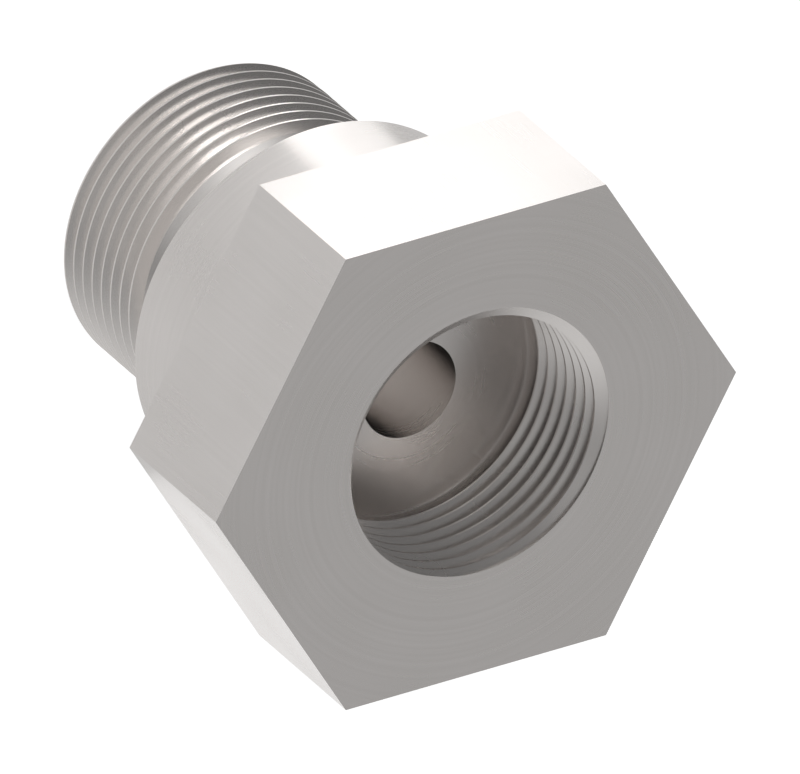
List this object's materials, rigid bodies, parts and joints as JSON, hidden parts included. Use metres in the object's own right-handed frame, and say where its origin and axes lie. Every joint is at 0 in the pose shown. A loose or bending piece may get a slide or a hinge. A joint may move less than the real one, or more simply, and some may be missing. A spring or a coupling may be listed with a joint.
{
  "type": "straight adapter",
  "caption": "Hexagon adapter in one piece of steel, with a threaded male stem behind a round collar, a threaded female port in its front face and an oil passage through both.",
  "frame": {"origin": "centre of the end face of the male thread, which the part stands on", "axes": "+Z along the axis of the threads, from the male end out of the female port, +X to a corner of the hexagon, +Y square to a flat of the hexagon"},
  "size_m": [0.0636, 0.055, 0.057],
  "materials": {
    "steel": "bright turned and drawn steel, satin"
  },
  "bodies": {
    "root": {"adapter_body": "steel"}
  },
  "joints": []
}
